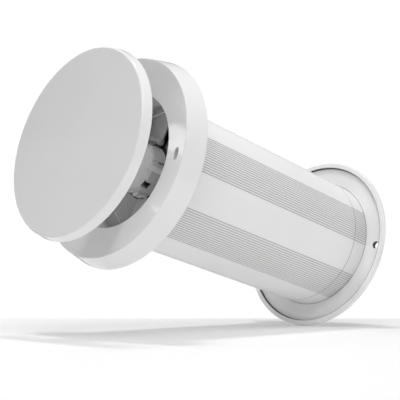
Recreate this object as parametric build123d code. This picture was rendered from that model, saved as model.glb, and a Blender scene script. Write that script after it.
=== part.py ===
from build123d import *
import math
import os

# Through-the-wall extractor fan with a heat recovery core, sizes in millimetres.
# The duct axis is Y: -Y points into the room, +Y runs through the wall to the outside.
# +Z is up and +X is right, seen from the room. The origin is on the duct axis, in the
# plane of the wall's room-side face.

# Clearances
SLIP = 0.2  # radial gap between rigid pieces that push together
GLIDE = 0.5  # radial gap round the stem that slides
PRESS = 0.02  # radial gap left in the solids of a press fit
RUN = 0.03  # running fit of the shaft in its bearings
STACK = 0.2  # axial gap between pieces stacked along the duct

# Wall tube
TUBE_R = 80.0
TUBE_WALL = 3.0
TUBE_FRONT = -9.0
TUBE_BACK = 303.0
GROOVE_DEPTH = 0.6
GROOVE_WIDTH = 1.2
GROOVE_BANDS = 6
GROOVES_PER_BAND = 16
GROOVE_STEP = 2.0  # degrees
COLLAR_SEAM = 0.3
COLLAR_WALL = 1.8
COLLAR_LAP = 15.0

# Front disc, the cover that slides in to close the vent
DISC_DEPTH = 11.7
DISC_TRAVEL = 40.0
DISC_REST_GAP = 0.8  # left between the disc and the ring when the vent is closed
DISC_FACE_R = TUBE_R + 23.3
DISC_BACK_R = TUBE_R + 25.5
DISC_WALL = 2.4
DISC_ROUND = 2.0
DISC_PLATE = 2.0
FOAM_DEPTH = 5.0
STEM_R = 25.6
STEM_WALL = 2.6
STEM_BACK = 18.0
STEM_FLANGE_R = STEM_R + 10.4
STEM_FLANGE = 3.0
STEM_FILLET = 2.5
STEM_SCREW_R = STEM_R + 6.4
STEM_SCREW_COUNT = 4
STEM_HOLE_R = 1.8
KEY_COUNT = 3
KEY_WIDTH = 1.6
KEY_LENGTH = 5.0
KEY_HEIGHT = 1.9
KEY_GAP = 0.3
KEY_ANGLE = 12.0

# Room housing, the tapered ring with its shallow bowl
RING_BACK_R = TUBE_R + 37.8
RING_FRONT_R = TUBE_R + 31.8
RING_DEPTH = 23.7
LIP_WIDTH = 1.2
BOWL_RISE = 9.7
HOUSING_WALL = 2.4
LINER_WALL = 1.3
CAVITY_GAP = 1.5  # between the tube and what stands behind the bowl
SPIGOT_BACK = 22.0
RIB_COUNT = 12
RIB_WALL = 1.8
GASKET_DEPTH = 3.2
GASKET_WIDTH = 7.5
SCREW_CIRCLE_R = TUBE_R + 16.0
WELL_WIDTH = 8.5  # along the radius
WELL_LENGTH = 13.7  # round the circle
WELL_WALL = 1.8
WELL_FLOOR = 2.5
SCREW_HOLE_R = 2.6

# Control board and cable clamp behind the bowl
PCB = 1.6
BOARD_FRONT = -12.0
BOARD_IN_R = TUBE_R + 4.0
BOARD_OUT_R = TUBE_R + 27.5
BOARD_SPREAD = 26.0  # degrees each side of the bottom
INNER_POST_R = TUBE_R + 7.5
OUTER_POST_R = TUBE_R + 24.0
BOARD_SCREWS = [(INNER_POST_R, -112), (OUTER_POST_R, -108), (INNER_POST_R, -68), (OUTER_POST_R, -72)]
POST_R = 3.4
PILOT_R = 1.4
PILOT_DEPTH = 5.0
FIXING_HOLE_R = 1.8
CLAMP_ANGLE = -52.0
CLAMP_MID_R = TUBE_R + 16.5
CLAMP_SCREWS = [(CLAMP_MID_R - 8.5, CLAMP_ANGLE), (CLAMP_MID_R + 8.5, CLAMP_ANGLE)]
CLAMP_HALF_LENGTH = 12.0
CLAMP_HALF_WIDTH = 3.6
CLAMP_BAR = 2.4
CLAMP_ARCH_R = 4.6
CORD_R = 3.2
TERMINAL_WIDTH = 18.0
TERMINAL_DEPTH = 8.0
TERMINAL_HEIGHT = 8.0
TERMINAL_PITCH = 5.5

# Stem sleeve and guide ring: a sleeve for the stem, held by still vanes
SLEEVE_WALL = 2.4
SLEEVE_FRONT = 10.5
COLLAR_DEPTH = 1.8
COLLAR_STEP = 1.0
VANE_COUNT = 7
VANE_WALL = 2.0
VANE_PITCH = 72.0  # degrees from the duct axis
VANE_SPREAD = 29.7  # degrees each side of the vane's middle
VANE_START = 40.3
VANE_MIDDLE = 30.0
VANE_FRONT = 15.2
VANE_HUB_WALL = 1.8
VANE_HUB_FRONT = 28.0
FAN_RING_WALL = 2.2
WINDOW = 8.5
WINDOW_DEPTH = 9.0
WINDOW_ANGLE = -46.5
CLIP_COUNT = 3
CLIP_ANGLE = -6.0
CLIP_REACH = 8.0
CLIP_ROOT = 13.5
CLIP_WIDTH = 6.4
CLIP_WALL = 2.8

# Fan and motor
IMPELLER_DEPTH = 26.0
BLADE_COUNT = 7
BLADE_TIP_GAP = 1.0
BLADE_WALL = 1.8
BLADE_CHORD = 38.0
BLADE_CAMBER = 4.0
BLADE_PITCH = 56.0  # degrees from the duct axis
HUB_R = 30.6
HUB_WALL = 2.2
CUP_WALL = 1.2
MAGNET_WALL = 2.4
AIR_GAP = 0.6
STATOR_TEETH = 9
STATOR_DEPTH = 14.0
BEARING_R = 5.5
BEARING_DEPTH = 5.0
SHAFT_R = 2.5
TUBE_BOSS_R = 7.6
MOTOR_PLATE = 3.0
STRUT_COUNT = 5
STRUT_WIDTH = 5.0
STRUT_DEPTH = 9.0

# Heat recovery cartridge
CORE_DEPTH = TUBE_BACK - 163.0
CORE_SLEEVE_WALL = 5.0
CELL = 9.0
CELL_WALL = 1.6
GRID_DEPTH = 5.0
GRID_BAR = 3.0
FILTER_DEPTH = 5.0

# Outer flange and grille
FLANGE_FRONT = TUBE_BACK + 19.3
FLANGE_R = TUBE_R + 28.0
FLANGE_DEPTH = 4.9
FLANGE_LIP_R = TUBE_R + 21.8
FLANGE_RECESS = 3.2
FLANGE_HOLE_R = 4.4
FLANGE_BOSS_R = 6.6
FLANGE_BOSS_DEPTH = 5.4
GRILLE_DEPTH = 13.0
GRILLE_WALL = 3.0
SLAT_COUNT = 7
SLAT_WALL = 1.8
SLAT_CHORD = 16.0
SLAT_PITCH = 40.0  # degrees from upright
SCREEN_DEPTH = 0.8
SCREEN_PITCH = 8.0
SCREEN_WIRE = 1.2

# Places worked out from the sizes above
TUBE_BORE_R = TUBE_R - TUBE_WALL
MOUTH_R = TUBE_BORE_R - SLIP - LINER_WALL
RING_FRONT = -RING_DEPTH
DISC_REAR = RING_FRONT - DISC_REST_GAP - DISC_TRAVEL
DISC_FRONT = DISC_REAR - DISC_DEPTH
PLATE_BACK_FACE = DISC_REAR - 0.5
LIP_INNER_R = RING_FRONT_R - LIP_WIDTH
MOUTH_FRONT = RING_FRONT + BOWL_RISE
BOWL_SLOPE = BOWL_RISE / (LIP_INNER_R - MOUTH_R)
SIDE_TAPER = (RING_BACK_R - RING_FRONT_R) / RING_DEPTH
SPIGOT_R = TUBE_BORE_R - SLIP
SLEEVE_BORE_R = STEM_R + GLIDE
SLEEVE_R = SLEEVE_BORE_R + SLEEVE_WALL
SLEEVE_BACK = STEM_BACK + DISC_TRAVEL + 3.0
VANE_HUB_IN_R = SLEEVE_R + SLIP
VANE_HUB_R = VANE_HUB_IN_R + VANE_HUB_WALL
BOARD_BACK = BOARD_FRONT + PCB
LINER_FRONT = MOUTH_FRONT + HOUSING_WALL + STACK
GUIDE_FRONT = SPIGOT_BACK + STACK
GUIDE_BACK = SLEEVE_BACK
SHROUD_FRONT = GUIDE_BACK + STACK
SHROUD_BORE_R = SPIGOT_R - FAN_RING_WALL
IMPELLER_FRONT = SHROUD_FRONT + 3.0
CUP_FRONT = IMPELLER_FRONT + HUB_WALL
CUP_R = HUB_R - HUB_WALL - PRESS
MAGNET_R = CUP_R - CUP_WALL - PRESS
STATOR_R = MAGNET_R - MAGNET_WALL - AIR_GAP
IMPELLER_BACK = IMPELLER_FRONT + IMPELLER_DEPTH
STATOR_FRONT = CUP_FRONT + 6.0
STATOR_BACK = STATOR_FRONT + STATOR_DEPTH
PLATE_FRONT = IMPELLER_BACK + 2.0
PLATE_BACK = PLATE_FRONT + MOTOR_PLATE
SHROUD_BACK = PLATE_FRONT + STRUT_DEPTH + 2.0
FRONT_BEARING = CUP_FRONT + 4.0
REAR_BEARING = PLATE_FRONT - BEARING_DEPTH - 1.0
CARTRIDGE_FRONT = SHROUD_BACK + 4.0
CORE_R = SPIGOT_R - CORE_SLEEVE_WALL - SLIP
ROOM_FILTER = CARTRIDGE_FRONT + STACK
FRONT_GRID = ROOM_FILTER + FILTER_DEPTH + STACK
CORE_FRONT = FRONT_GRID + GRID_DEPTH + STACK
REAR_GRID = CORE_FRONT + CORE_DEPTH + STACK
OUTDOOR_FILTER = REAR_GRID + GRID_DEPTH + STACK
CARTRIDGE_BACK = OUTDOOR_FILTER + FILTER_DEPTH + STACK
FLANGE_FLOOR = FLANGE_FRONT + FLANGE_RECESS
FLANGE_BACK = FLANGE_FRONT + FLANGE_DEPTH
COLLAR_FRONT = TUBE_BACK + COLLAR_SEAM
COLLAR_R = SPIGOT_R - COLLAR_WALL
FLANGE_SPIGOT_R = COLLAR_R - SLIP
FLANGE_BORE_R = FLANGE_SPIGOT_R - COLLAR_WALL
SCREEN_FRONT = FLANGE_BACK + STACK
GRILLE_FRONT = SCREEN_FRONT + SCREEN_DEPTH + STACK
GRILLE_R = TUBE_R - 2.0


def revolved(points, rounds=()):
    """A body turned about the duct axis. Points are (radius, place along the axis)."""
    outline = make_face(Polyline(*points, close=True))
    for corner, radius in rounds:
        vertex = outline.vertices().sort_by_distance((*corner, 0))[0]
        outline = fillet(vertex, radius)
    return revolve(outline, Axis.Y)


def ring(outer, inner, front, back):
    """A plain tube or washer on the duct axis."""
    return revolved([(inner, front), (outer, front), (outer, back), (inner, back)])


def disc(radius, front, back):
    return revolved([(0, front), (radius, front), (radius, back), (0, back)])


def across(front):
    """The plane that faces outside, at this place along the duct, with X right and Z up."""
    return Plane(origin=(0, front, 0), x_dir=(1, 0, 0), z_dir=(0, 1, 0))


def along(sketch, front, back):
    """Runs a flat section along the duct. The section is drawn with Z downwards."""
    return extrude(across(front) * sketch, amount=back - front)


def turned(shape, angle):
    """Turns a piece about the duct axis; positive runs from +X towards +Z."""
    return Rot(0, -angle, 0) * shape


def round_axis(shape, count, start=0.0):
    return [turned(shape, start + 360 / count * step) for step in range(count)]


def block(x, y, z):
    """A box given by its low and high limits along each axis."""
    size = Box(x[1] - x[0], y[1] - y[0], z[1] - z[0])
    return Pos(sum(x) / 2, sum(y) / 2, sum(z) / 2) * size


def sector(half_angle, front, back):
    """A wedge about the duct axis, centred on +X."""
    reach = 2 * RING_BACK_R
    x = reach * math.cos(math.radians(half_angle))
    z = reach * math.sin(math.radians(half_angle))
    return along(make_face(Polyline((0, 0), (x, z), (x, -z), close=True)), front, back)


def bowl_y(radius):
    """Place of the bowl's visible face at a radius."""
    return MOUTH_FRONT - BOWL_SLOPE * (radius - MOUTH_R)


def cavity_corner():
    """Where the back of the bowl meets the inside of the tapered side."""
    back_of_bowl = MOUTH_FRONT + HOUSING_WALL + BOWL_SLOPE * MOUTH_R
    radius = (RING_BACK_R - HOUSING_WALL + SIDE_TAPER * back_of_bowl) / (1 + SIDE_TAPER * BOWL_SLOPE)
    return radius, back_of_bowl - BOWL_SLOPE * radius


def screw(front, length, head_r=3.4, shank_r=1.6, head=1.8):
    """A pan-head screw on the duct axis, driven towards +Y from its head's front."""
    shank = disc(shank_r, front + head, front + head + length)
    recess = block((-2.2, 2.2), (front - 1, front + 0.8), (-0.45, 0.45))
    cross = block((-0.45, 0.45), (front - 1, front + 0.8), (-2.2, 2.2))
    return disc(head_r, front, front + head) + shank - recess - cross


# ---- Front disc and its stem -------------------------------------------------------------


def front_disc():
    """The cover's dished shell, open at its back."""
    inner = DISC_FACE_R - DISC_WALL
    plate_seat = PLATE_BACK_FACE - DISC_PLATE
    shell = revolved(
        [
            (0, DISC_FRONT),
            (DISC_FACE_R, DISC_FRONT),
            (DISC_BACK_R, DISC_REAR),
            (DISC_BACK_R - DISC_WALL, DISC_REAR),
            (DISC_BACK_R - DISC_WALL, plate_seat),
            (inner - 1.0, plate_seat),
            (inner - 1.0, DISC_FRONT + DISC_WALL),
            (0, DISC_FRONT + DISC_WALL),
        ],
        [((DISC_FACE_R, DISC_FRONT), DISC_ROUND), ((DISC_BACK_R, DISC_REAR), 0.6)],
    )
    return shell


def disc_foam():
    """Sound-absorbing pad behind the shell's face."""
    front = DISC_FRONT + DISC_WALL + STACK
    return disc(DISC_FACE_R - DISC_WALL - 2.5, front, front + FOAM_DEPTH)


def disc_backplate():
    """Round plate that closes the shell, with the stem's screw holes."""
    back = PLATE_BACK_FACE
    radius = DISC_BACK_R - DISC_WALL - SLIP
    plate = disc(radius, back - DISC_PLATE, back)
    hole = Pos(STEM_SCREW_R, 0, 0) * disc(STEM_HOLE_R, back - 5, back + 5)
    holes = round_axis(hole, STEM_SCREW_COUNT, 45)
    stiffeners = ring(60, 58.4, back, back + 0.45) + ring(88, 86.4, back, back + 0.45)
    return plate + stiffeners - holes


def disc_stem():
    """Tube that carries the disc and slides in the guide sleeve on three keys."""
    face = PLATE_BACK_FACE
    bore = STEM_R - STEM_WALL
    tube = revolved(
        [
            (bore, face),
            (STEM_FLANGE_R, face),
            (STEM_FLANGE_R, face + STEM_FLANGE),
            (STEM_R, face + STEM_FLANGE),
            (STEM_R, STEM_BACK),
            (bore, STEM_BACK),
        ],
        [((STEM_R, face + STEM_FLANGE), STEM_FILLET)],
    )
    tube += disc(bore + 0.5, -8.0, -6.0)
    key = block(
        (STEM_R - 1.0, STEM_R + KEY_HEIGHT),
        (STEM_BACK - KEY_LENGTH, STEM_BACK),
        (-KEY_WIDTH / 2, KEY_WIDTH / 2),
    )
    tube += round_axis(key, KEY_COUNT, KEY_ANGLE)
    notch = block((bore - 1, STEM_R + 1), (SLEEVE_FRONT, STEM_BACK + 1), (-WINDOW / 2, WINDOW / 2))
    tube -= round_axis(notch, KEY_COUNT, WINDOW_ANGLE)
    hole = Pos(STEM_SCREW_R, 0, 0) * disc(STEM_HOLE_R, face - 5, face + 9)
    return tube - round_axis(hole, STEM_SCREW_COUNT, 45)


def stem_screws():
    """Four screws through the backplate into the stem's flange."""
    head = 1.8
    one = mirror(screw(0, DISC_PLATE + 1.0, head_r=2.6, head=head), Plane.XZ)
    placed = Pos(STEM_SCREW_R, PLATE_BACK_FACE + STEM_FLANGE + head, 0) * one
    return round_axis(placed, STEM_SCREW_COUNT, 45)


# ---- Room housing ------------------------------------------------------------------------


def housing_cavity():
    """The space behind the bowl, open to the wall."""
    inner = TUBE_R + CAVITY_GAP
    return revolved(
        [
            (inner, bowl_y(inner) + HOUSING_WALL),
            cavity_corner(),
            (RING_BACK_R - HOUSING_WALL, 0),
            (inner, 0),
        ]
    )


def screw_well(width, length, front, back):
    """Slotted well at 3 o'clock, long way round the circle."""
    section = Pos(SCREW_CIRCLE_R, 0, 0) * Rectangle(width, length)
    section = fillet(section.vertices(), width * 0.45)
    return along(section, front, back)


def board_posts():
    """Four posts for the control board, and two for the cable clamp."""
    posts = []
    for radius, angle in BOARD_SCREWS + CLAMP_SCREWS:
        front = bowl_y(radius) + HOUSING_WALL - 0.6
        posts.append(turned(Pos(radius, 0, 0) * disc(POST_R, front, BOARD_FRONT), angle))
    return posts


def room_housing():
    """Tapered ring with its bowl and mouth in one moulding, with ribs behind."""
    back_r = RING_BACK_R - HOUSING_WALL
    body = revolved(
        [
            (RING_BACK_R, 0),
            (RING_FRONT_R, RING_FRONT),
            (LIP_INNER_R, RING_FRONT),
            (MOUTH_R, MOUTH_FRONT),
            (MOUTH_R, MOUTH_FRONT + HOUSING_WALL),
            cavity_corner(),
            (back_r, 0),
        ],
        [
            ((MOUTH_R, MOUTH_FRONT), 1.2),
            ((RING_FRONT_R, RING_FRONT), 0.4),
        ],
    )
    cavity = housing_cavity()
    rib_y = (-RING_DEPTH, -GASKET_DEPTH)
    rib = block((TUBE_R + CAVITY_GAP, RING_BACK_R), rib_y, (-RIB_WALL / 2, RIB_WALL / 2))
    board_room = bottom_sector(TUBE_R, RING_BACK_R, BOARD_SPREAD + 3, BOARD_FRONT - SLIP, 0)
    ribs = [(r & cavity) - board_room for r in round_axis(rib, RIB_COUNT, 15)]
    stop = ring(TUBE_R + 2.2, TUBE_R + SLIP, bowl_y(TUBE_R + 2.2) + HOUSING_WALL - 0.5, -3.0)
    body += ribs
    body += stop
    body += board_posts()
    outer = screw_well(WELL_WIDTH + 2 * WELL_WALL, WELL_LENGTH + 2 * WELL_WALL, -16.0, 0)
    well = screw_well(WELL_WIDTH, WELL_LENGTH, -RING_DEPTH, -WELL_FLOOR)
    hole = Pos(SCREW_CIRCLE_R, 0, 0) * disc(SCREW_HOLE_R, -RING_DEPTH, 1)
    for side in (0, 180):
        body += turned(outer, side)
    for side in (0, 180):
        body -= turned(well, side)
        body -= turned(hole, side)
    for radius, angle in BOARD_SCREWS + CLAMP_SCREWS:
        pilot = disc(PILOT_R, BOARD_FRONT - PILOT_DEPTH, BOARD_FRONT + 1)
        body -= turned(Pos(radius, 0, 0) * pilot, angle)
    return body


def mouth_liner():
    """Thin ring that lines the mouth, its rim held between the bowl and the tube."""
    liner = ring(SPIGOT_R, MOUTH_R, LINER_FRONT, SPIGOT_BACK)
    return liner + ring(TUBE_R, SPIGOT_R - 0.5, LINER_FRONT, TUBE_FRONT - STACK)


def wall_gasket():
    """Foam ring between the housing and the wall."""
    outer = RING_BACK_R - HOUSING_WALL - SIDE_TAPER * GASKET_DEPTH - SLIP
    gasket = ring(outer, outer - GASKET_WIDTH, -GASKET_DEPTH, 0)
    clear = screw_well(WELL_WIDTH + 2 * WELL_WALL + 1, WELL_LENGTH + 2 * WELL_WALL + 1, -9, 1)
    return gasket - turned(clear, 0) - turned(clear, 180)


def bottom_sector(inner, outer, half_angle, front, back):
    """A ring sector centred at the bottom of the housing."""
    return ring(outer, inner, front, back) & turned(sector(half_angle, front - 1, back + 1), -90)


def control_board():
    """Speed and timer board on its posts, with its larger components."""
    board = bottom_sector(BOARD_IN_R, BOARD_OUT_R, BOARD_SPREAD, BOARD_FRONT, BOARD_BACK)
    for radius, angle in BOARD_SCREWS:
        hole = disc(FIXING_HOLE_R, BOARD_FRONT - 1, BOARD_BACK + 1)
        board -= turned(Pos(radius, 0, 0) * hole, angle)
    row = -(TUBE_R + 10.0)
    transformer = block((-22, -14), (BOARD_BACK, BOARD_BACK + 5.5), (row - 9, row - 1))
    relay = block((-10, -4), (BOARD_BACK, BOARD_BACK + 4.0), (row - 10, row - 4))
    capacitor = disc(3.2, BOARD_BACK, BOARD_BACK + 7.0)
    return board + transformer + relay + [Pos(x, 0, row) * capacitor for x in (4, 12)]


def terminal_block():
    """Three-way screw terminal for the mains wires."""
    left = 4.0
    low = -OUTER_POST_R - 0.5
    back = BOARD_BACK
    body = block((left, left + TERMINAL_WIDTH), (back, back + TERMINAL_HEIGHT), (low, low + TERMINAL_DEPTH))
    for step in range(3):
        x = left + 3.5 + TERMINAL_PITCH * step
        body -= block((x - 1.7, x + 1.7), (back + 1.5, back + 5.0), (low - 0.5, low + 4.0))
        body -= Pos(x, 0, low + 5.2) * disc(1.5, back + 5.0, back + TERMINAL_HEIGHT + 1)
    return body


def cable_clamp():
    """Saddle that holds the mains cable behind the bowl."""
    front = BOARD_FRONT
    across_bar = (-CLAMP_HALF_WIDTH, CLAMP_HALF_WIDTH)
    reach = (CLAMP_MID_R - CLAMP_HALF_LENGTH, CLAMP_MID_R + CLAMP_HALF_LENGTH)
    bar = block(reach, (front, front + CLAMP_BAR), across_bar)
    arch = Pos(CLAMP_MID_R, front + CLAMP_BAR, 0) * Cylinder(CLAMP_ARCH_R, 2 * CLAMP_HALF_WIDTH)
    bar += arch & block(reach, (front, front + 9), across_bar)
    bar -= Pos(CLAMP_MID_R, front + 1.0, 0) * Cylinder(CORD_R, 9)
    for radius, _ in CLAMP_SCREWS:
        bar -= Pos(radius, 0, 0) * disc(FIXING_HOLE_R, front - 1, front + 12)
    return turned(bar, CLAMP_ANGLE)


def board_screws():
    """Screws of the control board and the cable clamp."""
    head = 1.4
    one = mirror(screw(0, 4.0, head_r=2.6, shank_r=1.3, head=head), Plane.XZ)
    seats = [(r, a, BOARD_BACK) for r, a in BOARD_SCREWS]
    seats += [(r, a, BOARD_FRONT + CLAMP_BAR) for r, a in CLAMP_SCREWS]
    return [turned(Pos(r, seat + head, 0) * one, a) for r, a, seat in seats]


# ---- Stem sleeve and guide ring -----------------------------------------------------------


def stem_sleeve():
    """Sleeve that guides the stem, with its key slots, windows and clip notches."""
    collar_back = VANE_HUB_FRONT - STACK
    sleeve = ring(SLEEVE_R, SLEEVE_BORE_R, SLEEVE_FRONT, SLEEVE_BACK)
    sleeve += ring(SLEEVE_R + COLLAR_STEP, SLEEVE_R - 0.5, collar_back - COLLAR_DEPTH, collar_back)
    wall = (SLEEVE_BORE_R - 1, SLEEVE_R + COLLAR_STEP + 1)
    slot_half = KEY_WIDTH / 2 + KEY_GAP
    slot_back = STEM_BACK + DISC_TRAVEL + 0.8
    slot = block(wall, (SLEEVE_FRONT - 1, slot_back), (-slot_half, slot_half))
    window = block(wall, (SLEEVE_FRONT - 1, SLEEVE_FRONT + WINDOW_DEPTH), (-WINDOW / 2, WINDOW / 2))
    notch_half = CLIP_WIDTH / 2 + SLIP
    notch = block(wall, (SLEEVE_FRONT - 1, SLEEVE_FRONT + CLIP_ROOT), (-notch_half, notch_half))
    sleeve -= round_axis(slot, KEY_COUNT, KEY_ANGLE)
    sleeve -= round_axis(window, KEY_COUNT, WINDOW_ANGLE)
    return sleeve - round_axis(notch, CLIP_COUNT, CLIP_ANGLE)


def guide_vanes():
    """Still vanes between a ring in the tube and a ring round the stem's sleeve."""
    outer = ring(SPIGOT_R, SHROUD_BORE_R, GUIDE_FRONT, GUIDE_BACK)
    hub = ring(VANE_HUB_R, VANE_HUB_IN_R, VANE_HUB_FRONT, GUIDE_BACK - 1)
    plate = Box(2 * MOUTH_R, 2 * MOUTH_R, VANE_WALL)
    vane = Pos(MOUTH_R, VANE_MIDDLE, 0) * Rot(VANE_PITCH, 0, 0) * plate
    vane = vane & sector(VANE_SPREAD, VANE_FRONT, GUIDE_BACK)
    room = ring(MOUTH_R - GLIDE, VANE_HUB_R - 0.5, VANE_FRONT, GUIDE_FRONT + 1)
    room += ring(SHROUD_BORE_R + 0.5, VANE_HUB_R - 0.5, GUIDE_FRONT, GUIDE_BACK - 1)
    return outer + hub + [v & room for v in round_axis(vane, VANE_COUNT, VANE_START)]


def stem_clips():
    """Pointed spring fingers that grip the stem and hold the disc where it is put."""
    inner = SLEEVE_BORE_R - 0.1
    outer = inner + CLIP_WALL
    root = SLEEVE_FRONT + CLIP_ROOT - SLIP
    tip = SLEEVE_FRONT - CLIP_REACH
    band = ring(outer, inner, tip - 1, root)
    half = CLIP_WIDTH / 2
    outline = Polyline(
        (-half, root),
        (half, root),
        (half, SLEEVE_FRONT),
        (0, tip),
        (-half, SLEEVE_FRONT),
        close=True,
    )
    arrow = extrude(Plane.XY * make_face(outline), amount=SLEEVE_R + 5)
    upright = band & arrow
    return round_axis(turned(upright, -90), CLIP_COUNT, CLIP_ANGLE)


# ---- Fan and motor -----------------------------------------------------------------------


def fan_shroud():
    """Ring round the impeller, with the struts, motor plate and bearing tube."""
    tube = ring(SPIGOT_R, SHROUD_BORE_R, SHROUD_FRONT, SHROUD_BACK)
    plate_r = MAGNET_R
    plate = disc(plate_r, PLATE_FRONT, PLATE_BACK)
    boss = disc(TUBE_BOSS_R, FRONT_BEARING, PLATE_BACK + 2.0)
    strut = block(
        (plate_r - 2, SHROUD_BORE_R + 0.5),
        (PLATE_FRONT, PLATE_FRONT + STRUT_DEPTH),
        (-STRUT_WIDTH / 2, STRUT_WIDTH / 2),
    )
    body = tube + plate + boss + round_axis(strut, STRUT_COUNT, 20)
    bore = disc(BEARING_R + PRESS, FRONT_BEARING - 1, FRONT_BEARING + BEARING_DEPTH)
    bore += disc(BEARING_R - 1.2, FRONT_BEARING, PLATE_BACK - 0.8)
    bore += disc(BEARING_R + PRESS, REAR_BEARING, PLATE_BACK - 0.8)
    return body - bore


def bearing(front):
    """Ball bearing, drawn as its closed outline."""
    back = front + BEARING_DEPTH
    inner = SHAFT_R + RUN
    step = 0.35
    shield = 0.9
    return revolved(
        [
            (inner, front),
            (inner + shield, front),
            (inner + shield, front + step),
            (BEARING_R - shield, front + step),
            (BEARING_R - shield, front),
            (BEARING_R, front),
            (BEARING_R, back),
            (BEARING_R - shield, back),
            (BEARING_R - shield, back - step),
            (inner + shield, back - step),
            (inner + shield, back),
            (inner, back),
        ]
    )


def stator_core():
    """Laminated iron with a tooth for each coil."""
    yoke = ring(TUBE_BOSS_R + PRESS + 3.0, TUBE_BOSS_R + PRESS, STATOR_FRONT, STATOR_BACK)
    tooth = block((TUBE_BOSS_R + 2.5, STATOR_R - 1.5), (STATOR_FRONT, STATOR_BACK), (-1.6, 1.6))
    shoe = ring(STATOR_R, STATOR_R - 2.2, STATOR_FRONT, STATOR_BACK)
    gap = block((STATOR_R - 4, STATOR_R + 2), (STATOR_FRONT - 1, STATOR_BACK + 1), (-1.3, 1.3))
    half_step = 180 / STATOR_TEETH
    shoes = shoe - round_axis(gap, STATOR_TEETH, half_step)
    return yoke + round_axis(tooth, STATOR_TEETH) + shoes


def stator_windings():
    """One copper coil round each tooth."""
    margin = 1.4
    coil_in = TUBE_BOSS_R + 4.6
    coil_out = STATOR_R - 2.6
    fronts = (STATOR_FRONT - margin, STATOR_BACK + margin)
    outside = block((coil_in, coil_out), fronts, (-2.9, 2.9))
    hole = block((coil_in - 1, coil_out + 1), (STATOR_FRONT - 0.1, STATOR_BACK + 0.1), (-1.7, 1.7))
    return round_axis(outside - hole, STATOR_TEETH)


def motor_board():
    """Ring-shaped drive board between the coils and the motor plate."""
    back = PLATE_FRONT - STACK
    return ring(MAGNET_R - MAGNET_WALL - 1.5, TUBE_BOSS_R + 0.6, back - PCB, back)


def impeller():
    """Moulded impeller: hub cap and twisted blades."""
    hub = revolved(
        [
            (SHAFT_R + 1.5, IMPELLER_FRONT),
            (HUB_R, IMPELLER_FRONT),
            (HUB_R, IMPELLER_BACK - 2),
            (HUB_R - HUB_WALL, IMPELLER_BACK - 2),
            (HUB_R - HUB_WALL, CUP_FRONT),
            (SHAFT_R + 1.5, CUP_FRONT),
        ],
        [((HUB_R, IMPELLER_FRONT), 2.0)],
    )
    tip_r = SHROUD_BORE_R - BLADE_TIP_GAP
    half = BLADE_CHORD / 2
    outer_arc = ThreePointArc((-half, 0), (0, BLADE_CAMBER), (half, 0))
    inner_arc = ThreePointArc((half, -BLADE_WALL), (0, BLADE_CAMBER - BLADE_WALL), (-half, -BLADE_WALL))
    ends = [Line((half, 0), (half, -BLADE_WALL)), Line((-half, -BLADE_WALL), (-half, 0))]
    section = make_face([outer_arc, ends[0], inner_arc, ends[1]])
    depth_mid = (IMPELLER_FRONT + IMPELLER_BACK) / 2
    root = Plane(origin=(HUB_R - 2, depth_mid, 0), x_dir=(0, 1, 0), z_dir=(1, 0, 0))
    blade = extrude(root * Rot(0, 0, BLADE_PITCH) * section, amount=tip_r - HUB_R + 6)
    room = ring(tip_r, HUB_R - 0.8, IMPELLER_FRONT + 0.5, IMPELLER_BACK - 0.5)
    blades = [b & room for b in round_axis(blade, BLADE_COUNT, 5)]
    return hub + blades


def rotor_cup():
    """Steel cup that turns round the coils and carries the magnet."""
    back = IMPELLER_BACK - 1
    return revolved(
        [
            (SHAFT_R + PRESS, CUP_FRONT),
            (CUP_R, CUP_FRONT),
            (CUP_R, back),
            (CUP_R - CUP_WALL, back),
            (CUP_R - CUP_WALL, CUP_FRONT + CUP_WALL),
            (SHAFT_R + 1.6, CUP_FRONT + CUP_WALL),
            (SHAFT_R + 1.6, CUP_FRONT + 3.0),
            (SHAFT_R + PRESS, CUP_FRONT + 3.0),
        ]
    )


def rotor_magnet():
    return ring(MAGNET_R, MAGNET_R - MAGNET_WALL, STATOR_FRONT - 2, STATOR_BACK + 2)


def rotor_shaft():
    back = REAR_BEARING + BEARING_DEPTH + 1.6
    return revolved(
        [(0, CUP_FRONT + 0.2), (SHAFT_R, CUP_FRONT + 0.2), (SHAFT_R, back), (0, back)],
        [((SHAFT_R, back), 0.4)],
    )


# ---- Wall tube and cartridge -------------------------------------------------------------


def grooved_section(inner):
    """Duct section: bands of fine grooves between plain bands."""
    section = Circle(TUBE_R)
    grooves = []
    for band in range(GROOVE_BANDS):
        for step in range(GROOVES_PER_BAND):
            angle = 360 / GROOVE_BANDS * band + GROOVE_STEP * step
            groove = Pos(TUBE_R, 0) * Rectangle(2 * GROOVE_DEPTH, GROOVE_WIDTH)
            grooves.append(Rot(0, 0, -angle) * groove)
    return section - grooves - Circle(inner)


def wall_tube():
    return along(grooved_section(TUBE_BORE_R), TUBE_FRONT, TUBE_BACK)


def end_collar():
    """Short grooved ring that joins the tube to the outer flange."""
    ring_part = along(grooved_section(COLLAR_R), COLLAR_FRONT, FLANGE_FLOOR)
    lap = ring(SPIGOT_R, COLLAR_R, TUBE_BACK - COLLAR_LAP, COLLAR_FRONT + 0.5)
    return ring_part + lap


def core_sleeve():
    """Insulating foam tube that holds the cartridge in the duct."""
    return ring(SPIGOT_R, SPIGOT_R - CORE_SLEEVE_WALL, CARTRIDGE_FRONT, CARTRIDGE_BACK)


def heat_core():
    """Ceramic block with straight air cells."""
    limit = CORE_R - CELL_WALL - CELL * 0.75
    count = 2 * int(CORE_R / CELL) + 1
    cells = []
    for spot in GridLocations(CELL, CELL, count, count):
        if math.hypot(spot.position.X, spot.position.Y) < limit:
            cells.append(spot * Rectangle(CELL - CELL_WALL, CELL - CELL_WALL))
    section = Circle(CORE_R) - cells
    return along(section, CORE_FRONT, CORE_FRONT + CORE_DEPTH)


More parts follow.
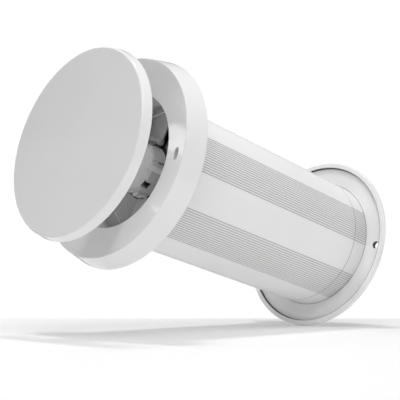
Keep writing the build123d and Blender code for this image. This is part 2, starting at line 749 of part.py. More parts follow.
def core_grid(front):
    """Wheel-shaped grid that holds one end of the core."""
    body = ring(CORE_R, CORE_R - 4, front, front + GRID_DEPTH)
    body += ring(30, 27, front, front + GRID_DEPTH)
    bar = block((28, CORE_R - 2), (front, front + GRID_DEPTH), (-GRID_BAR / 2, GRID_BAR / 2))
    body += round_axis(bar, 8)
    cross = block((-28, 28), (front, front + GRID_DEPTH), (-GRID_BAR / 2, GRID_BAR / 2))
    return body + cross + turned(cross, 90)


def air_filter(front):
    return disc(CORE_R, front, front + FILTER_DEPTH)


# ---- Outer flange and grille -------------------------------------------------------------


def outer_flange():
    """Dish with a raised rim, a spigot for the collar and two screw bosses."""
    body = revolved(
        [
            (FLANGE_BORE_R, TUBE_BACK + 4),
            (FLANGE_SPIGOT_R, TUBE_BACK + 4),
            (FLANGE_SPIGOT_R, FLANGE_FLOOR),
            (FLANGE_LIP_R, FLANGE_FLOOR),
            (FLANGE_LIP_R, FLANGE_FRONT),
            (FLANGE_R, FLANGE_FRONT),
            (FLANGE_R, FLANGE_BACK),
            (FLANGE_BORE_R, FLANGE_BACK),
        ],
        [
            ((FLANGE_R, FLANGE_FRONT), 1.2),
            ((FLANGE_R, FLANGE_BACK), 1.0),
        ],
    )
    boss = disc(FLANGE_BOSS_R, FLANGE_BACK - 1, FLANGE_FLOOR + FLANGE_BOSS_DEPTH)
    hole = disc(FLANGE_HOLE_R, FLANGE_FRONT, FLANGE_BACK + 20)
    for side in (-1, 1):
        body += Pos(side * SCREW_CIRCLE_R, 0, 0) * boss
    for side in (-1, 1):
        body -= Pos(side * SCREW_CIRCLE_R, 0, 0) * hole
    return body


def insect_screen():
    """Square mesh behind the grille."""
    count = 2 * int(GRILLE_R / SCREEN_PITCH)
    bars = []
    for step in range(count + 1):
        place = (step - count / 2) * SCREEN_PITCH
        bars.append(Pos(place, 0) * Rectangle(SCREEN_WIRE, 2 * GRILLE_R))
        bars.append(Pos(0, place) * Rectangle(2 * GRILLE_R, SCREEN_WIRE))
    mesh = Sketch() + bars
    rim = Circle(GRILLE_R) - Circle(GRILLE_R - GRILLE_WALL)
    return along((mesh & Circle(GRILLE_R - 1)) + rim, SCREEN_FRONT, SCREEN_FRONT + SCREEN_DEPTH)


def weather_grille():
    """Round grille with sloping slats that shed rain."""
    back = GRILLE_FRONT + GRILLE_DEPTH
    body = ring(GRILLE_R, GRILLE_R - GRILLE_WALL, GRILLE_FRONT, back)
    room = disc(GRILLE_R - 1, GRILLE_FRONT + 0.5, back - 0.5)
    pitch = 2 * (GRILLE_R - GRILLE_WALL) / SLAT_COUNT
    slats = []
    for step in range(SLAT_COUNT):
        height = (step - (SLAT_COUNT - 1) / 2) * pitch
        slat = Box(2 * GRILLE_R, SLAT_CHORD, SLAT_WALL)
        placed = Pos(0, (GRILLE_FRONT + back) / 2, height) * Rot(-SLAT_PITCH, 0, 0) * slat
        slats.append(placed & room)
    post = block((-2, 2), (GRILLE_FRONT + 0.5, GRILLE_FRONT + 3.5), (-GRILLE_R + 1, GRILLE_R - 1))
    return body + slats + post


def build_all():
    return {
        "front_disc": front_disc(),
        "disc_foam": disc_foam(),
        "disc_backplate": disc_backplate(),
        "disc_stem": disc_stem(),
        "stem_screws": stem_screws(),
        "room_housing": room_housing(),
        "mouth_liner": mouth_liner(),
        "wall_gasket": wall_gasket(),
        "control_board": control_board(),
        "terminal_block": terminal_block(),
        "cable_clamp": cable_clamp(),
        "board_screws": board_screws(),
        "stem_sleeve": stem_sleeve(),
        "guide_vanes": guide_vanes(),
        "stem_clips": stem_clips(),
        "fan_shroud": fan_shroud(),
        "front_bearing": bearing(FRONT_BEARING),
        "rear_bearing": bearing(REAR_BEARING),
        "stator_core": stator_core(),
        "stator_windings": stator_windings(),
        "motor_board": motor_board(),
        "impeller": impeller(),
        "rotor_cup": rotor_cup(),
        "rotor_magnet": rotor_magnet(),
        "rotor_shaft": rotor_shaft(),
        "wall_tube": wall_tube(),
        "end_collar": end_collar(),
        "core_sleeve": core_sleeve(),
        "room_filter": air_filter(ROOM_FILTER),
        "core_front_grid": core_grid(FRONT_GRID),
        "heat_core": heat_core(),
        "core_rear_grid": core_grid(REAR_GRID),
        "outdoor_filter": air_filter(OUTDOOR_FILTER),
        "outer_flange": outer_flange(),
        "insect_screen": insect_screen(),
        "weather_grille": weather_grille(),
    }


os.makedirs("parts", exist_ok=True)
for name, shape in build_all().items():
    pieces = shape if isinstance(shape, list) else [shape]
    solids = [solid for piece in pieces for solid in piece.solids()]
    export_step(Compound(children=solids), f"parts/{name}.step")
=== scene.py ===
"""Looks of the through-the-wall extractor fan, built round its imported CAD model.

Metres, in the part's own frame: the duct axis is Y, -Y points into the room, +Z is up.
"""

import math

import bmesh
import bpy
from mathutils import Matrix, Vector


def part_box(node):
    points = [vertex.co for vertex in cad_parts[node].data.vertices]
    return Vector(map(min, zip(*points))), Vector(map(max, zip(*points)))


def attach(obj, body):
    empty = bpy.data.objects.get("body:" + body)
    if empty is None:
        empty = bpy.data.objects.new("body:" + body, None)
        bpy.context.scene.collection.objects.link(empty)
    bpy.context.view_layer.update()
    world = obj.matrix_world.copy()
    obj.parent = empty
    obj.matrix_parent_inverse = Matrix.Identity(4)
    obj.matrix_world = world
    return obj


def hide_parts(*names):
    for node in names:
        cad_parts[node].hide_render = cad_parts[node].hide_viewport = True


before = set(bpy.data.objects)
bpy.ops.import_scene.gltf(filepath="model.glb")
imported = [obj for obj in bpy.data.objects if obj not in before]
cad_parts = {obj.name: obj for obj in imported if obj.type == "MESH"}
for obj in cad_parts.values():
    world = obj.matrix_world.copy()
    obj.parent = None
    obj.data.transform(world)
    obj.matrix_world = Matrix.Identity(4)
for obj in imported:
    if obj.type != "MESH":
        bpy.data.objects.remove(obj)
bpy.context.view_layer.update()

MM = 0.001
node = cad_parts

# Places on the CAD pieces that finishes and new pieces follow
TUBE_R = 80.0 * MM
TUBE_BACK = 303.0 * MM
SLEEVE_R = 28.5 * MM
VANE_HUB_R = 30.5 * MM
SCREW_CIRCLE_R = 96.0 * MM
FLANGE_FRONT = 322.3 * MM
FLANGE_FLOOR = 325.5 * MM
FLANGE_LIP_R = 101.8 * MM
FLANGE_HOLE_R = 4.4 * MM

# Painted shade in the sheltered places: how dark it is, from 0 black to 1 white
GROOVE_PAINTED_SHADE = 0.52
SEAM_PAINTED_SHADE = 0.4
LIP_EDGE_PAINTED_SHADE = 0.3
LIP_CORNER_PAINTED_SHADE = 0.08
TUBE_FOOT_PAINTED_SHADE = 0.25
SCREW_HOLE_PAINTED_SHADE = 0.03
VANE_ROOT_PAINTED_SHADE = 0.02

# Cover over the motor lead
COVER_RADIUS = 35 * MM
COVER_MIDDLE = 23.5 * MM
COVER_SIZE = (6 * MM, 5 * MM, 19 * MM)
COVER_STEP = 1.6 * MM
COVER_END = 2.2 * MM
COVER_ANGLE = 74  # degrees from +X towards +Z

# Latch on the sleeve
LATCH_RADIUS = 29.6 * MM
LATCH_MIDDLE = 21 * MM
LATCH_SIZE = (4.4 * MM, 16 * MM, 8 * MM)
LATCH_GROOVE = 3.3 * MM  # from the latch's middle
LATCH_GROOVE_DEPTH = 0.9 * MM
LATCH_ANGLE = -80

# Ribs on the vanes
RIB_PLACE = 22 * MM
RIB_HEIGHT = 1.2 * MM
RIB_WIDTH = 0.5 * MM
RIB_CREST = 0.3 * MM

# Woven insect screen
SCREEN_PITCH = 5.0 * MM
SCREEN_WIRE_R = 0.22 * MM
SCREEN_RIM = 3.0 * MM
SCREEN_EDGE = 1.5 * MM  # wires stop this far inside the rim's outside


# ---- Material helpers ----------------------------------------------------------------------


class Paint:
    """A material being built, in the piece's own space."""

    def __init__(self, name, colour, roughness, **sockets):
        self.material = bpy.data.materials.new(name)
        self.material.use_nodes = True
        self.nodes = self.material.node_tree.nodes
        self.links = self.material.node_tree.links
        self.shader = self.nodes["Principled BSDF"]
        self.shader.inputs["Base Color"].default_value = (*colour, 1.0)
        self.shader.inputs["Roughness"].default_value = roughness
        for socket, value in sockets.items():
            self.shader.inputs[socket.replace("_", " ")].default_value = value
        self.place = self.nodes.new("ShaderNodeTexCoord").outputs["Object"]

    def noise(self, scale, detail=3.0, rough=0.55, stretch=None):
        """Noise in the piece's own space; scale is features per metre."""
        where = self.place
        if stretch:
            mapping = self.nodes.new("ShaderNodeMapping")
            mapping.inputs["Scale"].default_value = stretch
            self.links.new(where, mapping.inputs["Vector"])
            where = mapping.outputs["Vector"]
        texture = self.nodes.new("ShaderNodeTexNoise")
        texture.inputs["Scale"].default_value = scale
        texture.inputs["Detail"].default_value = detail
        texture.inputs["Roughness"].default_value = rough
        self.links.new(where, texture.inputs["Vector"])
        return texture.outputs["Fac"]

    def cells(self, scale, feature="F1"):
        """Rounded cells, scale of them per metre."""
        texture = self.nodes.new("ShaderNodeTexVoronoi")
        texture.feature = feature
        texture.inputs["Scale"].default_value = scale
        self.links.new(self.place, texture.inputs["Vector"])
        return texture.outputs["Distance"]

    def spread(self, factor, low, high, start=0.3, end=0.7):
        """Maps a factor to numbers between low and high."""
        span = self.nodes.new("ShaderNodeMapRange")
        span.inputs["From Min"].default_value = start
        span.inputs["From Max"].default_value = end
        span.inputs["To Min"].default_value = low
        span.inputs["To Max"].default_value = high
        self.links.new(factor, span.inputs["Value"])
        return span.outputs["Result"]

    def colour_between(self, factor, dark, light):
        ramp = self.nodes.new("ShaderNodeValToRGB")
        ramp.color_ramp.elements[0].position = 0.3
        ramp.color_ramp.elements[0].color = (*dark, 1.0)
        ramp.color_ramp.elements[1].position = 0.7
        ramp.color_ramp.elements[1].color = (*light, 1.0)
        self.links.new(factor, ramp.inputs["Fac"])
        self.links.new(ramp.outputs["Color"], self.shader.inputs["Base Color"])

    def roughness_from(self, factor):
        self.links.new(factor, self.shader.inputs["Roughness"])

    def bump(self, factor, depth, strength=1.0):
        """Raises the surface by up to depth metres where the factor is high."""
        relief = self.nodes.new("ShaderNodeBump")
        relief.inputs["Strength"].default_value = strength
        relief.inputs["Distance"].default_value = depth
        self.links.new(factor, relief.inputs["Height"])
        before = self.shader.inputs["Normal"].links
        if before:
            self.links.new(before[0].from_socket, relief.inputs["Normal"])
        self.links.new(relief.outputs["Normal"], self.shader.inputs["Normal"])


    def calc(self, operation, value, other=0.0):
        step = self.nodes.new("ShaderNodeMath")
        step.operation = operation
        self.links.new(value, step.inputs[0])
        step.inputs[1].default_value = other
        return step.outputs["Value"]

    def off_axis(self, across=0.0):
        """Distance from a line along Y that crosses the X axis at this place."""
        moved = self.nodes.new("ShaderNodeVectorMath")
        moved.operation = "SUBTRACT"
        moved.inputs[1].default_value = (across, 0.0, 0.0)
        self.links.new(self.place, moved.inputs[0])
        flat = self.nodes.new("ShaderNodeVectorMath")
        flat.operation = "MULTIPLY"
        flat.inputs[1].default_value = (1.0, 0.0, 1.0)
        self.links.new(moved.outputs["Vector"], flat.inputs[0])
        size = self.nodes.new("ShaderNodeVectorMath")
        size.operation = "LENGTH"
        self.links.new(flat.outputs["Vector"], size.inputs[0])
        return size.outputs["Value"]

    def along_axis(self):
        parts = self.nodes.new("ShaderNodeSeparateXYZ")
        self.links.new(self.place, parts.inputs["Vector"])
        return parts.outputs["Y"]

    def within(self, value, low, high, soft):
        """1 between low and high, falling to 0 over the soft distance outside them."""
        centred = self.calc("SUBTRACT", value, (low + high) / 2)
        far = self.calc("ABSOLUTE", centred)
        half = (high - low) / 2
        return self.spread(far, 1.0, 0.0, half, half + soft)

    def both(self, first, second):
        step = self.nodes.new("ShaderNodeMath")
        step.operation = "MULTIPLY"
        self.links.new(first, step.inputs[0])
        self.links.new(second, step.inputs[1])
        return step.outputs["Value"]

    def paint_shade(self, factor, shade):
        """Painted shade where the factor is high, over the colour so far."""
        mix = self.nodes.new("ShaderNodeMix")
        mix.data_type = "RGBA"
        self.links.new(factor, mix.inputs["Factor"])
        self.links.new(self.shader.inputs["Base Color"].links[0].from_socket, mix.inputs["A"])
        mix.inputs["B"].default_value = (shade, shade, shade, 1.0)
        self.links.new(mix.outputs["Result"], self.shader.inputs["Base Color"])


def grey(value):
    return (value, value, value)


def plastic(name, shade, roughness, drift=0.015, grain=0.00001):
    """Injection-moulded plastic: even colour, fine spark-eroded grain, slow change in gloss."""
    paint = Paint(name, grey(shade), roughness)
    flow = paint.noise(9.0, 2.0)
    paint.colour_between(flow, grey(shade - drift), grey(shade + drift))
    swing = min(0.05, roughness * 0.3)
    paint.roughness_from(paint.spread(paint.noise(26.0), roughness - swing, roughness + swing))
    paint.bump(paint.noise(1900.0, 2.0), grain)
    return paint


def moulded(name, *finish, **more):
    """Plain moulded plastic, ready to put on a piece."""
    return plastic(name, *finish, **more).material


def ribbed_duct(name, shade, roughness):
    """Duct plastic, with painted shade down in the fine grooves and at the collar's seam."""
    paint = plastic(name, shade, roughness, grain=0.000014)
    groove = paint.within(paint.off_axis(), TUBE_R - 0.8 * MM, TUBE_R - 0.34 * MM, 0.18 * MM)
    paint.paint_shade(groove, GROOVE_PAINTED_SHADE)
    seam = paint.within(paint.along_axis(), TUBE_BACK - 0.35 * MM, TUBE_BACK + 0.4 * MM, 0.1 * MM)
    paint.paint_shade(seam, SEAM_PAINTED_SHADE)
    return paint.material


def dished_flange(name, shade, roughness):
    """Shell plastic, with painted shade along the lip's front edge, in its inner corner, round the duct
    and in the screw holes.
    """
    paint = plastic(name, shade, roughness)
    radius = paint.off_axis()
    along = paint.along_axis()
    front = paint.within(along, FLANGE_FRONT - MM, FLANGE_FRONT + 0.3 * MM, 0.3 * MM)
    deep = paint.within(along, FLANGE_FRONT + 0.8 * MM, FLANGE_FLOOR + 0.1 * MM, 0.5 * MM)
    edge = paint.within(radius, FLANGE_LIP_R - 0.05 * MM, FLANGE_LIP_R + 0.45 * MM, 0.2 * MM)
    corner = paint.within(radius, FLANGE_LIP_R - 0.5 * MM, FLANGE_LIP_R + 0.2 * MM, 0.5 * MM)
    foot = paint.within(radius, TUBE_R - 0.4 * MM, TUBE_R + 0.3 * MM, 0.5 * MM)
    paint.paint_shade(paint.both(edge, front), LIP_EDGE_PAINTED_SHADE)
    paint.paint_shade(paint.both(corner, deep), LIP_CORNER_PAINTED_SHADE)
    paint.paint_shade(paint.both(foot, deep), TUBE_FOOT_PAINTED_SHADE)
    for side in (-1, 1):
        hole = paint.off_axis(side * SCREW_CIRCLE_R)
        inside = paint.spread(hole, 1.0, 0.0, FLANGE_HOLE_R + 0.05 * MM, FLANGE_HOLE_R + 0.2 * MM)
        paint.paint_shade(inside, SCREW_HOLE_PAINTED_SHADE)
    return paint.material


def fan_vanes(name, shade, roughness):
    """Grey plastic, with painted shade where the vanes run in to their hub."""
    paint = plastic(name, shade, roughness, drift=0.012)
    root = paint.within(paint.off_axis(), SLEEVE_R, VANE_HUB_R + 1.0 * MM, 1.2 * MM)
    paint.paint_shade(root, VANE_ROOT_PAINTED_SHADE)
    return paint.material


def open_foam(name, shade):
    """Soft open-cell foam."""
    paint = Paint(name, grey(shade), 0.95, Sheen_Weight=0.3)
    pores = paint.cells(520.0)
    paint.colour_between(pores, grey(shade * 0.45), grey(shade * 1.25))
    paint.bump(pores, 0.0006)
    return paint.material


def bead_foam(name, shade):
    """Expanded bead foam of the insulating sleeve."""
    paint = Paint(name, grey(shade), 0.85)
    beads = paint.cells(260.0)
    paint.colour_between(beads, grey(shade * 1.4), grey(shade * 0.5))
    paint.bump(beads, 0.0005, 0.6)
    return paint.material


def fleece(name, shade):
    """Matted filter fibres."""
    paint = Paint(name, grey(shade), 0.95, Sheen_Weight=0.5)
    fibres = paint.noise(700.0, 6.0, 0.75)
    paint.colour_between(fibres, grey(shade * 0.72), grey(min(shade * 1.12, 0.9)))
    paint.bump(fibres, 0.0009)
    return paint.material


def fired_ceramic(name):
    """Speckled buff ceramic."""
    paint = Paint(name, (0.56, 0.5, 0.41), 0.7)
    specks = paint.noise(240.0, 5.0, 0.7)
    paint.colour_between(specks, (0.43, 0.37, 0.29), (0.66, 0.6, 0.5))
    paint.bump(paint.noise(900.0), 0.00008)
    return paint.material


def turned_metal(name, colour, roughness, stretch):
    """Metal with fine tool lines across the stretch."""
    paint = Paint(name, colour, roughness, Metallic=1.0)
    lines = paint.noise(140.0, 4.0, 0.6, stretch)
    dark = tuple(c * 0.82 for c in colour)
    paint.colour_between(lines, dark, colour)
    paint.roughness_from(paint.spread(lines, roughness - 0.08, roughness + 0.12))
    paint.bump(lines, 0.00002)
    return paint.material


def enamelled_wire(name):
    """Copper wire laid in close turns."""
    paint = Paint(name, (0.5, 0.17, 0.05), 0.28, Metallic=1.0, Coat_Weight=0.5)
    turns = paint.nodes.new("ShaderNodeTexWave")
    turns.inputs["Scale"].default_value = 700.0
    turns.inputs["Distortion"].default_value = 0.6
    paint.links.new(paint.place, turns.inputs["Vector"])
    paint.colour_between(turns.outputs["Fac"], (0.3, 0.09, 0.03), (0.6, 0.23, 0.08))
    paint.bump(turns.outputs["Fac"], 0.0003)
    return paint.material


def ferrite(name):
    """Dark sintered magnet."""
    paint = Paint(name, grey(0.035), 0.55)
    grains = paint.noise(500.0, 5.0)
    paint.colour_between(grains, grey(0.025), grey(0.05))
    paint.bump(grains, 0.00006)
    return paint.material


def circuit_board(name):
    """Green solder mask over tracks."""
    paint = Paint(name, (0.012, 0.1, 0.035), 0.3, Coat_Weight=0.6, Coat_Roughness=0.1)
    tracks = paint.cells(300.0, "DISTANCE_TO_EDGE")
    paint.colour_between(paint.spread(tracks, 0.0, 1.0, 0.0, 0.12), (0.03, 0.17, 0.06), (0.01, 0.08, 0.03))
    paint.bump(paint.spread(tracks, 1.0, 0.0, 0.0, 0.12), 0.00005)
    return paint.material


def dress(material, *names):
    """Gives a finish to CAD nodes."""
    for name in names:
        node[name].data.materials.clear()
        node[name].data.materials.append(material)


white_shell = moulded("white_shell", 0.87, 0.1)
gloss_shell = moulded("gloss_shell", 0.87, 0.04, grain=0.000003)
stem_white = moulded("stem_white", 0.93, 0.35, drift=0.01)
clip_white = moulded("clip_white", 0.93, 0.28, drift=0.01)
grey_fan = moulded("grey_fan", 0.47, 0.45, drift=0.012)
grey_sleeve = moulded("grey_sleeve", 0.66, 0.4, drift=0.02)
dark_blades = moulded("dark_blades", 0.12, 0.42, drift=0.01)
pale_terminal = moulded("pale_terminal", 0.55, 0.45)
zinc = turned_metal("zinc", (0.72, 0.73, 0.75), 0.32, (1.0, 6.0, 1.0))
bright_steel = turned_metal("bright_steel", (0.7, 0.7, 0.72), 0.18, (1.0, 8.0, 1.0))
rolled_steel = turned_metal("rolled_steel", (0.55, 0.56, 0.58), 0.36, (1.0, 7.0, 1.0))

dress(white_shell, "front_disc", "disc_backplate", "weather_grille")
dress(gloss_shell, "room_housing", "mouth_liner")
dress(dished_flange("white_flange", 0.87, 0.1), "outer_flange")
dress(ribbed_duct("white_duct", 0.88, 0.5), "wall_tube", "end_collar")
dress(stem_white, "disc_stem")
dress(clip_white, "stem_clips")
dress(grey_sleeve, "stem_sleeve")
dress(fan_vanes("grey_vanes", 0.53, 0.45), "guide_vanes")
dress(grey_fan, "fan_shroud", "core_front_grid", "core_rear_grid")
dress(dark_blades, "impeller")
dress(pale_terminal, "terminal_block", "cable_clamp")
dress(zinc, "stem_screws", "board_screws")
dress(bright_steel, "front_bearing", "rear_bearing", "rotor_shaft")
dress(rolled_steel, "rotor_cup", "stator_core", "insect_screen")
dress(enamelled_wire("enamelled_wire"), "stator_windings")
dress(ferrite("ferrite"), "rotor_magnet")
dress(circuit_board("circuit_board"), "control_board", "motor_board")
dress(open_foam("open_foam", 0.09), "disc_foam", "wall_gasket")
dress(bead_foam("bead_foam", 0.05), "core_sleeve")
dress(fleece("fleece", 0.6), "room_filter", "outdoor_filter")
dress(fired_ceramic("fired_ceramic"), "heat_core")


# ---- Pieces modelled by hand --------------------------------------------------------------


def edit():
    bpy.ops.object.mode_set(mode="EDIT")
    bpy.ops.mesh.select_mode(type="FACE")


def pick(test):
    """Selects the faces whose middle and normal pass the test."""
    mesh = bmesh.from_edit_mesh(bpy.context.object.data)
    for face in mesh.faces:
        face.select_set(test(face.calc_center_median(), face.normal))
    bmesh.update_edit_mesh(bpy.context.object.data)


def done():
    bpy.ops.object.mode_set(mode="OBJECT")


def extrude(x=0.0, y=0.0, z=0.0):
    bpy.ops.mesh.extrude_region_move(TRANSFORM_OT_translate={"value": (x, y, z)})


def place_in_mesh():
    bpy.ops.object.transform_apply(location=True, rotation=True, scale=True)


def soften(width, segments=2):
    """Rounds every sharp edge of the piece."""
    rounds = bpy.context.object.modifiers.new("rounds", "BEVEL")
    rounds.width = width
    rounds.segments = segments
    rounds.limit_method = "ANGLE"
    bpy.ops.object.modifier_apply(modifier=rounds.name)


def start_block(centre, size):
    """A block to be shaped, at its place."""
    bpy.ops.object.select_all(action="DESELECT")
    bpy.ops.mesh.primitive_cube_add(size=1, location=centre, scale=size)
    place_in_mesh()


def turn_about_duct(piece, degrees):
    """Turns a piece's mesh round the duct axis, from +X towards +Z."""
    piece.data.transform(Matrix.Rotation(-math.radians(degrees), 4, "Y"))


def keep(name, slot, material, *replaced):
    """Names the piece, finishes its surface and ties it to the casing."""
    piece = bpy.context.object
    piece.name = piece.data.name = name
    bpy.ops.object.shade_smooth_by_angle(angle=math.radians(35))
    piece.data.materials.clear()
    piece.data.materials.append(material)
    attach(piece, "casing")
    if replaced:
        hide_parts(*replaced)


def cable_cover():
    """Stepped cover over the motor lead, on the vanes beside the sleeve."""
    start_block((COVER_RADIUS, COVER_MIDDLE, 0), COVER_SIZE)
    edit()
    pick(lambda middle, normal: normal.y < -0.9)
    bpy.ops.mesh.inset(thickness=1.1 * MM)
    extrude(y=-COVER_STEP)
    pick(lambda middle, normal: normal.z > 0.9 and middle.z > 9 * MM)
    bpy.ops.mesh.inset(thickness=0.9 * MM)
    extrude(z=COVER_END)
    done()
    soften(0.5 * MM)
    turn_about_duct(bpy.context.object, COVER_ANGLE)
    keep("cable_cover", "grey_plastic", cover_grey)


def sleeve_latch():
    """Rounded latch on the sleeve with two finger grooves."""
    start_block((LATCH_RADIUS, LATCH_MIDDLE, 0), LATCH_SIZE)
    edit()
    pick(lambda middle, normal: normal.x > 0.9)
    bpy.ops.mesh.subdivide(number_cuts=4)
    pick(
        lambda middle, normal: normal.x > 0.9
        and abs(abs(middle.y - LATCH_MIDDLE) - LATCH_GROOVE) < 1 * MM
    )
    extrude(x=-LATCH_GROOVE_DEPTH)
    done()
    soften(0.7 * MM, 3)
    turn_about_duct(bpy.context.object, LATCH_ANGLE)
    keep("sleeve_latch", "sleeve_plastic", latch_grey)


def vane_rib(name, start, end):
    """Thin rib on a vane in pale plastic: the rib is real shape, and its paleness is a painted highlight
    along it; each end is a radius in mm and an angle.
    """
    ends = []
    for radius, angle in (start, end):
        turn = math.radians(angle)
        reach = radius * MM
        ends.append(Vector((math.cos(turn) * reach, RIB_PLACE, math.sin(turn) * reach)))
    run = ends[1] - ends[0]
    start_block((0, 0, 0), (run.length, RIB_HEIGHT, RIB_WIDTH))
    edit()
    pick(lambda middle, normal: normal.y < -0.9)
    bpy.ops.mesh.inset(thickness=0.15 * MM)
    extrude(y=-RIB_CREST)
    done()
    mesh = bpy.context.object.data
    mesh.transform(Matrix.Rotation(-math.atan2(run.z, run.x), 4, "Y"))
    mesh.transform(Matrix.Translation((ends[0] + ends[1]) / 2))
    keep(name, "clip_plastic", clip_white)


def crimped_wire(count, middle, wave):
    """One long screen wire along X that weaves up and down by wave."""
    bpy.ops.object.select_all(action="DESELECT")
    bpy.ops.mesh.primitive_circle_add(
        vertices=6,
        radius=SCREEN_WIRE_R,
        fill_type="NGON",
        location=(-(count + 1) * SCREEN_PITCH / 2, middle, 0),
        rotation=(0, math.pi / 2, 0),
    )
    place_in_mesh()
    edit()
    bpy.ops.mesh.select_all(action="SELECT")
    for step in range(count + 1):
        side = 1 if step % 2 else -1
        extrude(x=SCREEN_PITCH, y=side * (2 * wave if step else wave))
    bpy.ops.mesh.select_all(action="SELECT")
    bpy.ops.mesh.normals_make_consistent(inside=False)
    done()
    return bpy.context.object


def screen_strand(wire, place, middle, flipped, half, turn):
    """A copy of the wire at its place in the screen, cut off at half its length each way."""
    strand = bpy.data.objects.new("strand", wire.data.copy())
    bpy.context.scene.collection.objects.link(strand)
    if flipped:
        strand.data.transform(Matrix.Translation((0, -middle, 0)))
        strand.data.transform(Matrix.Scale(-1, 4, Vector((0, 1, 0))))
        strand.data.transform(Matrix.Translation((0, middle, 0)))
        strand.data.flip_normals()
    strand.data.transform(Matrix.Translation((0, 0, place)))
    bpy.ops.object.select_all(action="DESELECT")
    strand.select_set(True)
    bpy.context.view_layer.objects.active = strand
    edit()
    for end in (-1, 1):
        bpy.ops.mesh.select_all(action="SELECT")
        bpy.ops.mesh.bisect(
            plane_co=(end * half, 0, 0), plane_no=(end, 0, 0), use_fill=True, clear_outer=True
        )
    done()
    turn_about_duct(strand, turn)
    return strand


def screen_rim(reach, middle, thickness):
    """Pressed ring that holds the wires' ends."""
    bpy.ops.object.select_all(action="DESELECT")
    bpy.ops.mesh.primitive_torus_add(
        major_radius=reach - SCREEN_RIM / 2,
        minor_radius=SCREEN_RIM / 2,
        major_segments=96,
        minor_segments=10,
        location=(0, 0, 0),
        rotation=(math.pi / 2, 0, 0),
    )
    place_in_mesh()
    rim = bpy.context.object
    rim.data.transform(Matrix.Scale(thickness / SCREEN_RIM, 4, Vector((0, 1, 0))))
    rim.data.transform(Matrix.Translation((0, middle, 0)))
    return rim


def woven_screen():
    """Plain-woven wire cloth in its pressed rim."""
    low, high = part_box("insect_screen")
    middle = (low[1] + high[1]) / 2
    thickness = high[1] - low[1]
    reach = (high[0] - low[0]) / 2
    count = int(2 * (reach - SCREEN_RIM) / SCREEN_PITCH)
    wire = crimped_wire(count, middle, thickness / 2 - SCREEN_WIRE_R)
    strands = []
    for turn in (0, 90):
        for index in range(count):
            place = (index - (count - 1) / 2) * SCREEN_PITCH
            flipped = (index % 2) != (turn == 90)
            half = math.sqrt((reach - SCREEN_EDGE) ** 2 - place**2)
            strands.append(screen_strand(wire, place, middle, flipped, half, turn))
    bpy.data.objects.remove(wire)
    rim = screen_rim(reach, middle, thickness)
    for strand in strands:
        strand.select_set(True)
    bpy.context.view_layer.objects.active = rim
    bpy.ops.object.join()
    keep("woven_screen", "steel", rolled_steel, "insect_screen")


cover_grey = moulded("cover_grey", 0.4, 0.4)
latch_grey = moulded("latch_grey", 0.75, 0.35)

cable_cover()
sleeve_latch()
vane_rib("vane_rib_upper", (62.3, 94), (68, 78))
vane_rib("vane_rib_lower", (58.1, -125), (62.5, -109.5))
woven_screen()


# ---- Stage: camera, floor and light -----------------------------------------------------------

# The unit is shown lying tilted, its outer flange resting on the floor and its head in the air.
UP = Vector((-0.0647, -0.2182, 0.9738)).normalized()
FLOOR_UP = Vector((-0.0329, -0.2484, 0.9692)).normalized()
FLOOR_DROP = 0.1858  # from the origin down to the floor, along FLOOR_UP
FLOOR_NEAR, FLOOR_FAR, FLOOR_SIDE = -0.1, 1.45, 0.42  # from the eye's foot on the floor
FLOOR_GLOW = 0.085
EYE = Vector((0.8327, -0.6457, -0.2511))
AIM = Vector((-0.7227, 0.6664, 0.1836)).normalized()
EYE_UP = Vector((-0.0069, -0.2727, 0.9621)).normalized()
ROOM_GLOW = 0.325
SEEN_GLOW = 1.02  # the backdrop's white where the camera sees it
LAMP_DISTANCE = 1.5
LAMP_TARGET = Vector((0, 0.1, 0))
# Turn from behind the camera towards its right, rise above level, width and power of each lamp.
LAMPS = {
    "front_high": (0, 45, 1.0, 6.6),
    "back_left_low": (225, 8, 1.0, 4.8),
    "right_front_high": (45, 45, 1.0, 3.0),
    "right_low": (90, 12, 1.0, 3.3),
    "back_high": (205, 45, 1.0, 1.9),
    "left_low": (270, 8, 1.0, 0.64),
    "left_high": (270, 60, 0.8, 1.1),
    "zenith": (0, 90, 0.3, 8.34),
}
LENS = 89.95
SHIFT_Y = 0.075


def facing(forward, up):
    """Rotation of a camera or lamp that looks along forward."""
    back = -forward.normalized()
    right = up.cross(back).normalized()
    return Matrix((right, back.cross(right), back)).transposed()


def make_camera():
    data = bpy.data.cameras.new("eye")
    data.lens = LENS
    data.sensor_width = 36.0
    data.shift_y = SHIFT_Y
    data.clip_start = 0.01
    camera = bpy.data.objects.new("eye", data)
    camera.matrix_world = Matrix.Translation(EYE) @ facing(AIM, EYE_UP).to_4x4()
    bpy.context.scene.collection.objects.link(camera)
    bpy.context.scene.camera = camera


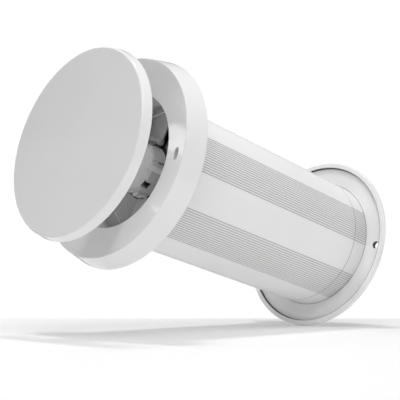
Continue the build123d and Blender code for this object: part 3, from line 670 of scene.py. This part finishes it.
def make_floor():
    """Pale floor that touches the flange's lowest point and falls away under the raised head."""
    foot = FLOOR_UP * (-FLOOR_DROP) + (EYE - FLOOR_UP * EYE.dot(FLOOR_UP))
    depth = (AIM - FLOOR_UP * AIM.dot(FLOOR_UP)).normalized()
    level = depth.cross(FLOOR_UP)
    corners = [
        foot + depth * along + level * across
        for along, across in (
            (FLOOR_NEAR, -FLOOR_SIDE),
            (FLOOR_NEAR, FLOOR_SIDE),
            (FLOOR_FAR, FLOOR_SIDE),
            (FLOOR_FAR, -FLOOR_SIDE),
        )
    ]
    mesh = bpy.data.meshes.new("floor")
    mesh.from_pydata(corners, [], [(0, 1, 2, 3)])
    floor = bpy.data.objects.new("floor", mesh)
    bpy.context.scene.collection.objects.link(floor)
    paint = Paint("floor_white", grey(0.9), 0.6, Emission_Strength=FLOOR_GLOW)
    paint.shader.inputs["Emission Color"].default_value = (1, 1, 1, 1)
    paint.colour_between(paint.noise(3.0), grey(0.89), grey(0.91))
    mesh.materials.append(paint.material)


def lamp(name, direction, size, power):
    """A soft round lamp in this direction from the middle of the unit."""
    data = bpy.data.lights.new(name, "AREA")
    data.shape = "DISK"
    data.size = size
    data.energy = power
    lamp_object = bpy.data.objects.new(name, data)
    where = LAMP_TARGET + direction * LAMP_DISTANCE
    side = Vector((0, 1, 0)) if abs(direction.y) < 0.9 else Vector((1, 0, 0))
    lamp_object.matrix_world = Matrix.Translation(where) @ facing(-direction, side).to_4x4()
    bpy.context.scene.collection.objects.link(lamp_object)
    lamp_object.visible_camera = False


def make_light():
    """A white studio: an even glow all round, and soft round lamps."""
    world = bpy.data.worlds.new("studio")
    bpy.context.scene.world = world
    world.use_nodes = True
    nodes, links = world.node_tree.nodes, world.node_tree.links
    room = nodes["Background"]
    room.inputs["Color"].default_value = (1, 1, 1, 1)
    room.inputs["Strength"].default_value = ROOM_GLOW
    seen = nodes.new("ShaderNodeBackground")
    seen.inputs["Color"].default_value = (1, 1, 1, 1)
    seen.inputs["Strength"].default_value = SEEN_GLOW
    path = nodes.new("ShaderNodeLightPath")
    mix = nodes.new("ShaderNodeMixShader")
    links.new(path.outputs["Is Camera Ray"], mix.inputs["Fac"])
    links.new(room.outputs["Background"], mix.inputs[1])
    links.new(seen.outputs["Background"], mix.inputs[2])
    links.new(mix.outputs["Shader"], nodes["World Output"].inputs["Surface"])
    ahead = (AIM - UP * AIM.dot(UP)).normalized()
    right = ahead.cross(UP)
    for name, (turn, rise, size, power) in LAMPS.items():
        swing, lift = math.radians(turn), math.radians(rise)
        level = right * math.sin(swing) - ahead * math.cos(swing)
        lamp(name, level * math.cos(lift) + UP * math.sin(lift), size, power)


make_camera()
make_floor()
make_light()
bpy.context.scene.view_settings.view_transform = "Standard"
